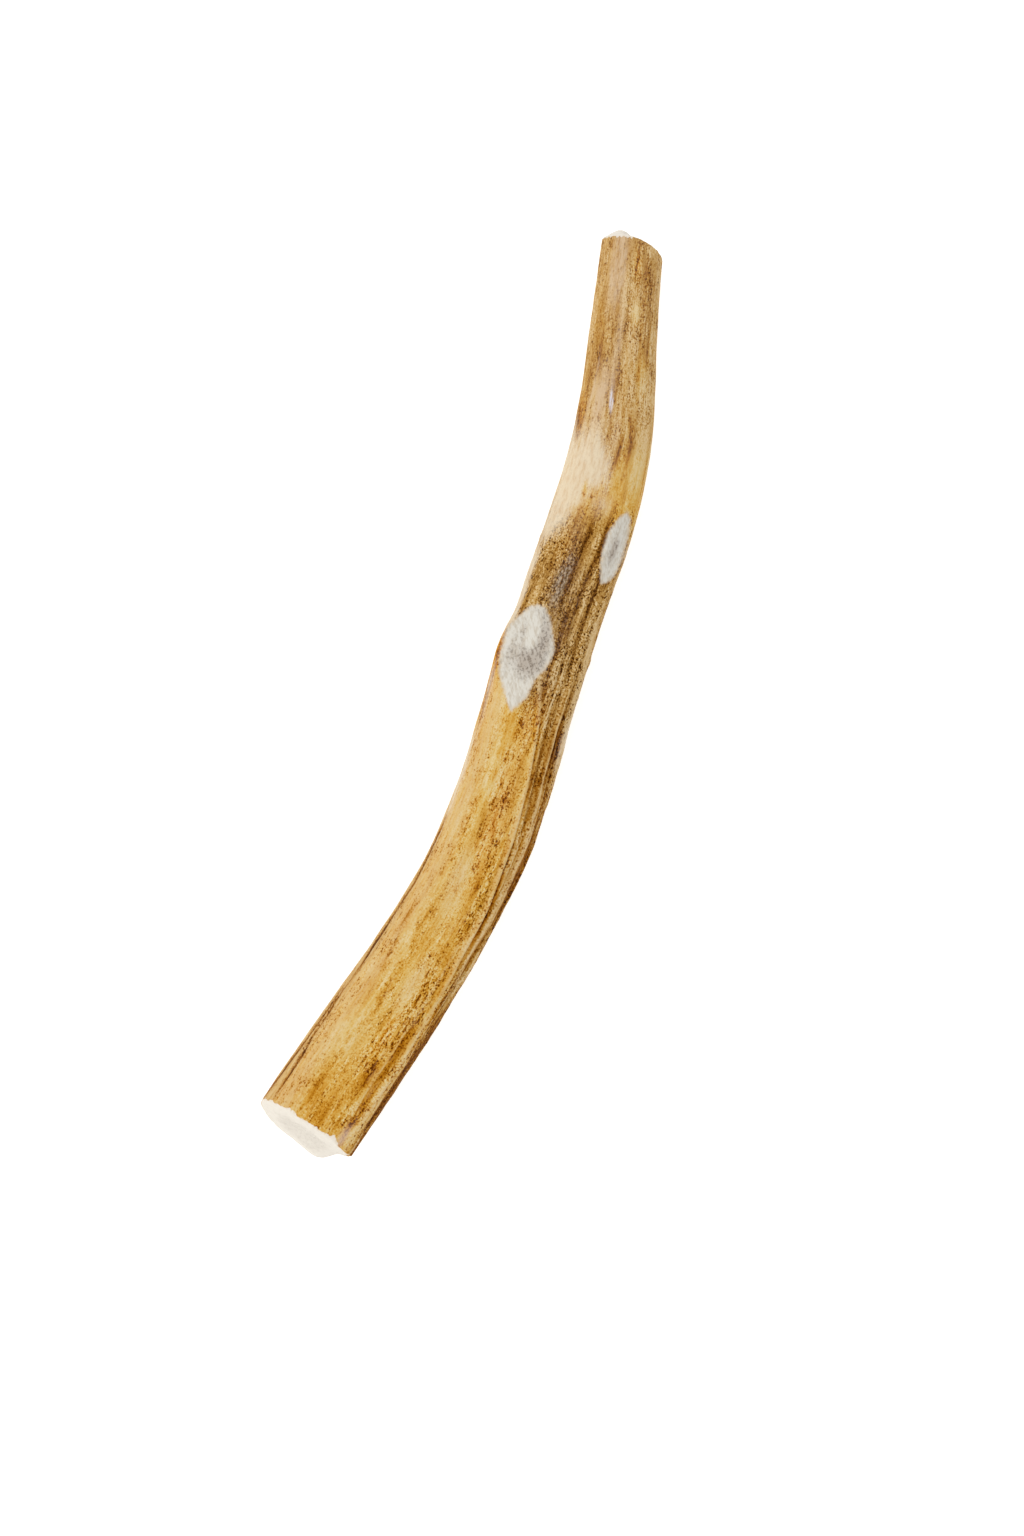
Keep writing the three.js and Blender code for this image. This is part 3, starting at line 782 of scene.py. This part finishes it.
# The small strong oval at 159 mm along is a painted glint, a bluish-white highlight; the other two are
# a faint lilac tint.
LILAC_AND_GLINT_PLACES = [
    (2.3, -7.2, 2.5, 0.7, 0, 0.2), (159.3, 1.2, 1.7, 0.28, 3, 2.4), (162, 1.3, 3, 0.4, 0, 0.2)
]
GOLD_PLACES = [(20, 2, 8, 2.6, 0, 0.5), (56, 1.6, 10, 3, 0, 0.5), (144, -5.6, 8, 3.6, 0, 0.6)]
GOLDEN_FLANK = (144, -5.5, 8, 3.5)
SMOOTH_PLACES = [(68, -7.4, 9, 1, 3, 0.5), (136, 3, 6, 2.5, 0, 0.45)]
WORN_PATCH = [
    (127.6, 8.4), (133, 9.6), (140, 9.4), (147.3, 8.6), (151.4, 7.2), (155.2, 4.8), (154.8, 1.9),
    (150.4, 0.7), (145.7, -0.9), (143, -1), (141.6, 0.2), (141.3, 1.8), (136, 4.1), (132, 5.85),
    (129, 7),
]
SKIN_LEFT_IN_IT = (141.2, 3.2, 2.2, 0.6, 6)

on_top = upper * (1 - flank)
golden_flank = patch(*GOLDEN_FLANK)
right_edge = ease(7.6, 8.8, seen_left) * upper * ease(-80, -62, -along)
left_edge = ease(-9.2, -9.8, seen_left) * upper * ease(-60, -44, -along)
tone_across = np.interp(seen_left, *np.array(TONE_ACROSS).T)
tone = MIDDLE_TONE + (tone_across - MIDDLE_TONE) * on_top * (1 - thin_part)
tone += 0.12 * grain(14, 5, 20) * below
tone += 0.25 * thin_part + 0.03 * flank + 0.03 * right_edge
tone -= 0.11 * between_stumps + 0.1 * left_edge
tone -= 0.05 * on_top * ease(14, 3, along) * ease(-5, -1, seen_left)
tone += patches(STAINS)
cream = np.zeros(len(along))
for line, _, change, paler in strokes:
    tone += TONE_OF_LINES * change * line
    cream = np.maximum(cream, paler * line)
tone -= grooved * (0.2 * furrows + 0.13 * creases) * (1 - cream) * (1 - 0.5 * between_stumps)
past_pale = np.maximum(tone - PALE_TONE, 0)
tone = np.clip(tone, DARKEST_TONE, PALE_TONE) + (1 - PALE_TONE) * np.tanh(past_pale / PALE_FADE)

# Cream on proud flutes, towards the right edge of the upper face, and in three rubbed places.
proud = np.clip(flutes * 1.6 - 0.25 - furrows, 0, 1)
cream = np.maximum(cream, 0.1 * grooved * proud * (1 - between_stumps))
cream = np.maximum(cream, 0.6 * ease(3.0, 6.6, seen_left) * on_top * ease(-103, -95, -along))
for *oval, share_cream in CREAM_PLACES:
    cream = np.maximum(cream, share_cream * patch(*oval))

# Brown bark in the gutters, between the stumps, on the thin part and underneath.
brown = 0.9 * flank + 0.95 * between_stumps + 0.85 * thin_part + 0.6 * below + 0.5 * right_edge
brown = np.clip(brown - patches(STRAW_PLACES), 0, 1) * (1 - 0.6 * golden_flank)

# Skin worn through: one large patch between the stumps, ragged at its rim, and pale edges, painted
# light on the lamp's side and rubbed wear on the other.
worn_and_lit_edges = inside(WORN_PATCH) + 0.7 * grain(4, 1.2, 21) + 0.4 * grain(1.6, 0.6, 22)
worn_and_lit_edges = ease(-2.8, 2.6, worn_and_lit_edges) * (worn_and_lit_edges > FAR / 2) - 0.45 * patch(*SKIN_LEFT_IN_IT)
worn_and_lit_edges *= 1 - 0.35 * ease(146, 154, seen_along)
ragged = grain(6, 1.2, 23)
# On the lamp's side these pale rims are painted light; the others are rubbed wear.
for *oval, share_pale_edge in RUBBED_AND_LIT_EDGES:
    rubbed_and_lit_edge = patch(*oval)
    worn_and_lit_edges = np.maximum(worn_and_lit_edges, share_pale_edge * rubbed_and_lit_edge + 0.45 * ragged * ease(0, 0.4, rubbed_and_lit_edge))

rosy = patches(ROSY_PLACES) + 0.15 * thin_part + 0.8 * stroke(ROSY_LINE, 0.22)
greyish = between_stumps * hump(seen_left - 0.5, 4) * ease(-129, -121, -along)
grey = patch(*GREY_PLACE) + 0.3 * greyish

# Where dots and blotches, specks, coarse grain, fine lines and sap show, and how strongly.
dotted_band = hump(seen_left + 3.2, 2.6) + hump(seen_left + 0.4, 2.2) * ease(50, 70, along)
mottled = on_top * (1 - between_stumps) * (1 - 0.35 * thin_part)
mottled *= (1 - 0.3 * ease(4.0, 6.0, seen_left)) * (0.55 + 0.45 * np.clip(dotted_band, 0, 1))
mottled += 0.3 * below * (1 - flank) + 0.3 * flank
speckled = between_stumps + 0.4 * thin_part + 0.35 * flank * ease(70, 100, along)
coarse = on_top * (0.75 + 0.45 * ease(3.0, -1.0, seen_left))
coarse = np.clip(coarse + 1.35 * flank + 1.6 * between_stumps + 0.8 * below, 0, 1.7)
coarse *= 1 + thin_part * (0.12 + 0.25 * ease(0, 2, seen_left))
coarse *= (1 - 0.75 * golden_flank) * (1 - patches(SMOOTH_PLACES))
lined = flank + 0.5 * right_edge + 0.45 * below + 0.35 * between_stumps
lined += 0.14 * thin_part + 0.12 * on_top
lined += 0.6 * upper * ease(-5.4, -6.4, seen_left) * ease(-50, -36, -along)
sap = flank + 0.45 * on_top + 0.35 * thin_part + 0.1 * right_edge + 0.55 * below
sap = np.clip(sap, 0, 1) * (1 - 0.85 * between_stumps) + patches(SAP_PLACES)

# ---------------------------------------------------------------------------- what the finish reads
# Each vertex carries its place in the straight beam and what was worked out about its skin. The
# skin is unwrapped too: the side in three lengths, with both faces in the room left over.
STUMPS_BEGIN, STUMPS_END = 60, 170
BAKE_CELLS = 3
BAKE_EDGE = 0.012
CLEAR_OF_SEAM = 0.985
DISCS_IN_CELL = 4.2
CLEAR_OF_CELL = 1.02

carried_values = {
    "tone": tone, "cream": cream, "brown": brown, "worn_and_lit_edges": worn_and_lit_edges, "rosy": np.clip(rosy, 0, 1),
    "grey": np.clip(grey, 0, 1), "lilac_and_glint": np.clip(patches(LILAC_AND_GLINT_PLACES), 0, 1),
    "gold": np.clip(patches(GOLD_PLACES), 0, 1), "mottled": np.clip(mottled, 0, 1),
    "speckled": np.clip(speckled, 0, 1), "coarse": coarse, "lined": np.clip(lined, 0, 1.1),
    "sap": sap, "stump": is_side * (along > STUMPS_BEGIN) * (along < STUMPS_END),
    "bone": bone, "marrow": marrow,
}
for name, values in carried_values.items():
    made = antler.data.attributes.new(name, "FLOAT", "POINT")
    made.data.foreach_set("value", np.asarray(values, np.float32))
straight = antler.data.attributes.new("straight", "FLOAT_VECTOR", "POINT")
thickness = np.where(is_side, BLANK_RADIUS, np.hypot(left, up))
laid_straight = np.stack((along, thickness * sine, thickness * cosine), 1)
straight.data.foreach_set("vector", laid_straight.astype(np.float32).ravel())

corner_vertex = np.zeros(len(antler.data.loops), int)
antler.data.loops.foreach_get("vertex_index", corner_vertex)
face_corners = np.zeros(len(antler.data.polygons), int)
antler.data.polygons.foreach_get("loop_total", face_corners)
face_of_corner = np.repeat(np.arange(len(face_corners)), face_corners)


def over_face(values):
    """The mean of a value over each face, for every corner of that face."""
    sums = np.bincount(face_of_corner, values[corner_vertex])
    return (sums / face_corners)[face_of_corner]


corner_step, face_step = step[corner_vertex], over_face(step)
face_share = over_face(share)
cosine_sum, sine_sum = over_face(cosine), over_face(sine)
turn_of_face = np.degrees(np.arctan2(sine_sum, cosine_sum))
corner_turn = turn_of_face + turn_between(angle[corner_vertex], turn_of_face)
cell = np.clip((face_step * BAKE_CELLS).astype(int), 0, BAKE_CELLS - 1)
room = 0.5 - 2 * BAKE_EDGE
flat_u = (cell % 2) * 0.5 + BAKE_EDGE + (corner_step * BAKE_CELLS - cell) * room
flat_v = (cell // 2) * 0.5 + BAKE_EDGE + (corner_turn / 360 + 0.5) * room * CLEAR_OF_SEAM
on_end = face_share < ON_THE_SIDE
disc = room / DISCS_IN_CELL
disc_room = BAKE_EDGE + disc * CLEAR_OF_CELL
disc_middle = np.where(face_step < 0.5, 0.5 + disc_room, 1 - disc_room)
flat_u = np.where(on_end, disc_middle + disc * (share * sine)[corner_vertex], flat_u)
flat_v = np.where(on_end, 0.75 + disc * (share * cosine)[corner_vertex], flat_v)
unwrapped = antler.data.uv_layers.new(name="OFBake")
unwrapped.data.foreach_set("uv", np.stack((flat_u, flat_v), 1).astype(np.float32).ravel())

# ---------------------------------------------------------------------------- the antler's finish
# Bark: dull, dry skin of bone, streaked, mottled and specked. Bone: dense, white and finely
# scratched. Marrow: grey, with dark pores.

# Colours are written as they look. The tent's light runs past white, so each is made darker by
# OVERLIGHT, and by VEIL for the light that glances off it, but never by more than three quarters.
OVERLIGHT = 1.3
VEIL = 0.002
LEAST_LEFT = 0.25
BARK_WARM = [(0.0, (96, 50, 6)), (0.15, (136, 79, 12)), (0.3, (171, 113, 25)), (0.42, (192, 137, 42)),
             (0.52, (205, 153, 61)), (0.62, (213, 167, 80)), (0.74, (220, 183, 104)),
             (0.86, (224, 197, 133)), (1.0, (231, 211, 163))]
BARK_BROWN = [(0.0, (66, 36, 8)), (0.15, (97, 57, 14)), (0.28, (124, 80, 27)), (0.4, (146, 101, 41)),
              (0.5, (163, 118, 53)), (0.6, (178, 135, 69)), (0.72, (193, 152, 87)),
              (0.84, (206, 169, 108)), (1.0, (223, 196, 149))]
CREAM = (217, 188, 140)
# Pale cream of worn skin, also laid on the lit edges as painted light.
WORN_AND_LIT = (232, 217, 190)
ROSY = (215, 188, 154)
GREY = (128, 110, 92)
GREY_DARK = (70, 54, 38)
GREY_PALE = (204, 190, 174)
# Bluish white, for a faint lilac tint and for a painted glint.
LILAC_AND_GLINT = (230, 227, 236)
GOLD = (214, 180, 112)
SAP = (1, 0.76, 0.15, 1)
BONE = (243, 237, 226)
BONE_SHADED = (235, 228, 217)
GROUND_BONE = (221, 218, 209)
GROUND_SHADED = (203, 195, 181)
MARROW = (172, 160, 148)
PORE = (98, 80, 68)
FINE_RELIEF = 0.15


def paint(colour):
    """A colour as it looks, 0 to 255, as the shader wants it under the bright tent."""
    linear = [(c / 255 / 12.92 if c <= 10 else ((c / 255 + 0.055) / 1.055) ** 2.4) for c in colour]
    return (*(max(c - VEIL, LEAST_LEFT * c) / OVERLIGHT for c in linear), 1)


finish = bpy.data.materials.new("antler_bone")
finish.use_nodes = True
nodes, links = finish.node_tree.nodes, finish.node_tree.links
shader = nodes["Principled BSDF"]


def connect(value, socket):
    """Feeds a socket with another node's output, or sets it to a plain number or colour."""
    if isinstance(value, bpy.types.NodeSocket):
        links.new(value, socket)
    else:
        socket.default_value = value


def carried(name, output="Fac"):
    """What the vertices carry under a name."""
    node = nodes.new("ShaderNodeAttribute")
    node.attribute_name = name
    return node.outputs[output]


def maths(operation, *values):
    """One step of arithmetic on numbers that change over the surface."""
    node = nodes.new("ShaderNodeMath")
    node.operation = operation
    for value, socket in zip(values, node.inputs):
        connect(value, socket)
    return node.outputs[0]


def total(*values):
    """Values added up."""
    return functools.reduce(lambda one, other: maths("ADD", one, other), values)


def times(*values):
    """Values multiplied together."""
    return functools.reduce(lambda one, other: maths("MULTIPLY", one, other), values)


def between(value, low, high, to_low=0.0, to_high=1.0):
    """Rises smoothly from one number to another as value goes from low to high."""
    node = nodes.new("ShaderNodeMapRange")
    node.interpolation_type = "SMOOTHSTEP"
    settings = {"Value": value, "From Min": low, "From Max": high, "To Min": to_low, "To Max": to_high}
    for name, number in settings.items():
        connect(number, node.inputs[name])
    return node.outputs["Result"]


def cloud(long, around, detail=3.0, roughness=0.55, shift=0.0, turn=0.0):
    """Noise in the straight beam, 0 to 1, drawn out along it; sizes in millimetres."""
    placed = nodes.new("ShaderNodeMapping")
    placed.vector_type = "TEXTURE"
    placed.inputs["Scale"].default_value = (long, around, around)
    placed.inputs["Rotation"].default_value = (0, 0, math.radians(turn))
    placed.inputs["Location"].default_value = (shift * 9.1, shift * 3.7, -shift * 5.3)
    links.new(place_in_beam, placed.inputs["Vector"])
    node = nodes.new("ShaderNodeTexNoise")
    node.inputs["Scale"].default_value = 1
    node.inputs["Detail"].default_value = detail
    node.inputs["Roughness"].default_value = roughness
    links.new(placed.outputs["Vector"], node.inputs["Vector"])
    return node.outputs["Fac"]


def swing(cloudy, amount):
    """Noise about nought, so much each way."""
    return times(maths("SUBTRACT", cloudy, 0.5), amount)


def blend(amount, under, over, how="MIX"):
    """Colour over laid on colour under, as thickly as amount says."""
    node = nodes.new("ShaderNodeMix")
    node.data_type = "RGBA"
    node.blend_type = how
    for value, socket in ((amount, 0), (under, 6), (over, 7)):
        connect(value, node.inputs[socket])
    return node.outputs[2]


def part_way(amount, first, second):
    """A number part of the way from first to second."""
    node = nodes.new("ShaderNodeMix")
    for value, socket in ((amount, 0), (first, 2), (second, 3)):
        connect(value, node.inputs[socket])
    return node.outputs[0]


def shades(value, steps):
    """A colour from a row of named shades."""
    node = nodes.new("ShaderNodeValToRGB")
    row = node.color_ramp.elements
    while len(row) < len(steps):
        row.new(0.5)
    for element, (place, colour) in zip(row, steps):
        element.position = place
        element.color = paint(colour)
    links.new(value, node.inputs["Fac"])
    return node.outputs["Color"]


# The noises that the finish is made of: each one's length and width, detail and roughness.
place_in_beam = carried("straight", "Vector")
fibre = cloud(3.6, 0.32, 4, 0.6)
streaks = cloud(16, 0.9, 3, shift=3)
drifts = cloud(11, 4.0, 2, shift=7)
blotches = cloud(2.4, 0.85, 4, 0.62, shift=11)
clusters = cloud(8, 2.2, 2, shift=17)
specks = cloud(0.9, 0.45, 2, 0.6, shift=23)
dots = cloud(1.3, 0.6, 3, 0.62, shift=41)
crumbs = cloud(0.62, 0.42, 2, 0.6, shift=29)
grit = cloud(0.36, 0.3, 1, shift=43)
leaning = cloud(9, 3.2, 2, shift=47)
ridges = cloud(45, 0.6, 3, 0.62, shift=61)
hairs = cloud(26, 0.34, 2, 0.5, shift=79)
flecks = cloud(1.7, 0.46, 2, 0.5, shift=67)
scuffs = cloud(5, 0.55, 3, 0.6, shift=71)
sponge = cloud(0.55, 0.5, 2, 0.6, shift=31)
saw_marks = cloud(5, 0.4, 2, 0.6, shift=53, turn=34)
dust = cloud(0.16, 0.13, 1, shift=37)

# Spots: where a noise is high enough, they show.
speckling = carried("speckled")
mottling = carried("mottled")
wear_and_lit_edges = carried("worn_and_lit_edges")
blotched = between(total(dots, swing(clusters, 1.1)), 0.53, 0.66)
specked = between(specks, 0.6, 0.72)
flecked = between(total(flecks, swing(clusters, 0.5)), 0.62, 0.68)
scuffed = between(total(scuffs, swing(drifts, 0.6)), 0.55, 0.66)
pale_specks = between(specks, 0.42, 0.3)

# The tone of the bark: what the vertices carry, with grain, pits, spots and lines added to it.
busy = between(total(clusters, swing(streaks, 0.6)), 0.4, 0.62, 0.55, 1.25)
fine = total(swing(fibre, 0.42), swing(crumbs, 0.85), swing(grit, 1.3), swing(blotches, 0.7))
pitted = maths("MINIMUM", total(fine, 0.1), 0.0)
fine = total(times(fine, 0.62), times(pitted, 0.95), 0.03)
bark_tone = total(
    carried("tone"),
    swing(drifts, 0.45),
    swing(streaks, 0.45),
    times(fine, busy, carried("coarse")),
    times(blotched, mottling, -0.24),
    times(specked, mottling, -0.14),
    times(flecked, mottling, -0.3),
    times(scuffed, 0.09),
    times(carried("lined"), total(swing(ridges, 0.7), swing(hairs, 0.6))),
    times(specked, total(times(speckling, 0.8), 0.25), -0.24),
    times(pale_specks, speckling, 0.16),
)

# The bark's colour, laid on in coats: straw or brown by its tone, sap, gold, scuffs and cream,
# the grey skin between the stumps, rosy bloom, faint lilac and a painted glint, and last the places
# worn through and the painted light of the lit edges.
browned = between(total(carried("brown"), swing(leaning, 0.7)), 0.02, 1.0)
bark = blend(browned, shades(bark_tone, BARK_WARM), shades(bark_tone, BARK_BROWN))
soaked = times(carried("sap"), between(bark_tone, 0.86, 0.22, 0.02, 1.0))
bark = blend(soaked, bark, SAP, "MULTIPLY")
bark = blend(times(carried("gold"), between(drifts, 0.3, 0.6, 0.15, 0.5)), bark, paint(GOLD))
bark = blend(times(scuffed, maths("SUBTRACT", 1.0, browned), 0.14), bark, paint(CREAM))
rubbed_pale = times(carried("cream"), between(fibre, 0.35, 0.6, 0.4, 1.0))
rubbed_pale = times(rubbed_pale, between(bark_tone, 0.3, 0.6, 0.1, 1.05))
bark = blend(rubbed_pale, bark, paint(CREAM))
grey_skin = blend(between(crumbs, 0.42, 0.62), paint(GREY_DARK), paint(GREY_PALE))
grey_skin = blend(0.35, grey_skin, paint(GREY))
bark = blend(times(carried("grey"), between(blotches, 0.35, 0.55, 0.2, 0.8)), bark, grey_skin)
rosiness = between(total(blotches, swing(streaks, 0.5)), 0.32, 0.62, 0.35, 0.92)
bark = blend(times(carried("rosy"), rosiness), bark, paint(ROSY))
# Lilac tint, and a painted glint where the lilac is strongest.
bark = blend(times(carried("lilac_and_glint"), between(fibre, 0.35, 0.55, 0.3, 0.95)), bark, paint(LILAC_AND_GLINT))
# The pale worn colour here also carries the painted light of the lit edges.
worn_through_and_lit = between(total(wear_and_lit_edges, swing(fibre, 0.7), swing(crumbs, 0.5)), 0.1, 0.95)
worn_and_lit_skin = blend(between(blotches, 0.4, 0.75), paint(WORN_AND_LIT), paint(ROSY))
bark = blend(times(worn_through_and_lit, 0.92), bark, worn_and_lit_skin)

# Bone where the saw or the grinder cut the bark away, with a rim that is softer on the stumps.
on_stump = carried("stump")
bone_edge = total(carried("bone"), swing(crumbs, 0.4), times(on_stump, swing(blotches, 0.9)))
bone_begins = maths("MULTIPLY_ADD", on_stump, -0.3, -0.08)
bone_is_full = maths("MULTIPLY_ADD", on_stump, 0.3, 0.1)
is_bone = between(bone_edge, bone_begins, bone_is_full)
thin_bone = between(bone_edge, 0.9, 0.0, 0.0, 0.4)
cut_bone = blend(between(blotches, 0.3, 0.8), paint(BONE), paint(BONE_SHADED))
ground_streaks = between(total(blotches, swing(saw_marks, 1.1)), 0.36, 0.74)
ground_bone = blend(ground_streaks, paint(GROUND_BONE), paint(GROUND_SHADED))
cut_bone = blend(on_stump, cut_bone, ground_bone)
cut_bone = blend(times(thin_bone, between(specks, 0.4, 0.6)), cut_bone, paint(CREAM))
is_marrow = between(total(carried("marrow"), swing(sponge, 2.2)), -1.5, 1.5)
pores = between(total(sponge, swing(saw_marks, 0.5)), 0.5, 0.68)
marrow_skin = blend(times(pores, 0.8), paint(MARROW), paint(PORE))
marrow_shows = maths("MULTIPLY_ADD", on_stump, 0.68, 0.08)
cut_bone = blend(times(is_marrow, marrow_shows), cut_bone, marrow_skin)
links.new(blend(is_bone, bark, cut_bone), shader.inputs["Base Color"])

rough_bark = total(between(bark_tone, 0.2, 0.8, 0.68, 0.5), times(wear_and_lit_edges, -0.08))
rough_bone = between(is_marrow, 0, 1, 0.5, 0.75)
links.new(part_way(is_bone, rough_bark, rough_bone), shader.inputs["Roughness"])
shader.inputs["Specular IOR Level"].default_value = 0.01
shader.inputs["IOR"].default_value = 1.5

bark_height = total(times(fibre, 0.5), times(crumbs, 0.3), times(specked, -0.35), times(dust, 0.12))
bone_height = total(times(dust, 0.15), times(crumbs, 0.1), times(pores, is_marrow, -0.8))
fine_relief = nodes.new("ShaderNodeBump")
fine_relief.inputs["Strength"].default_value = 0.8
fine_relief.inputs["Distance"].default_value = FINE_RELIEF * MM
links.new(part_way(is_bone, bark_height, bone_height), fine_relief.inputs["Height"])
links.new(fine_relief.outputs["Normal"], shader.inputs["Normal"])

antler.data.materials.append(finish)
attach(antler, "root")
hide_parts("antler")
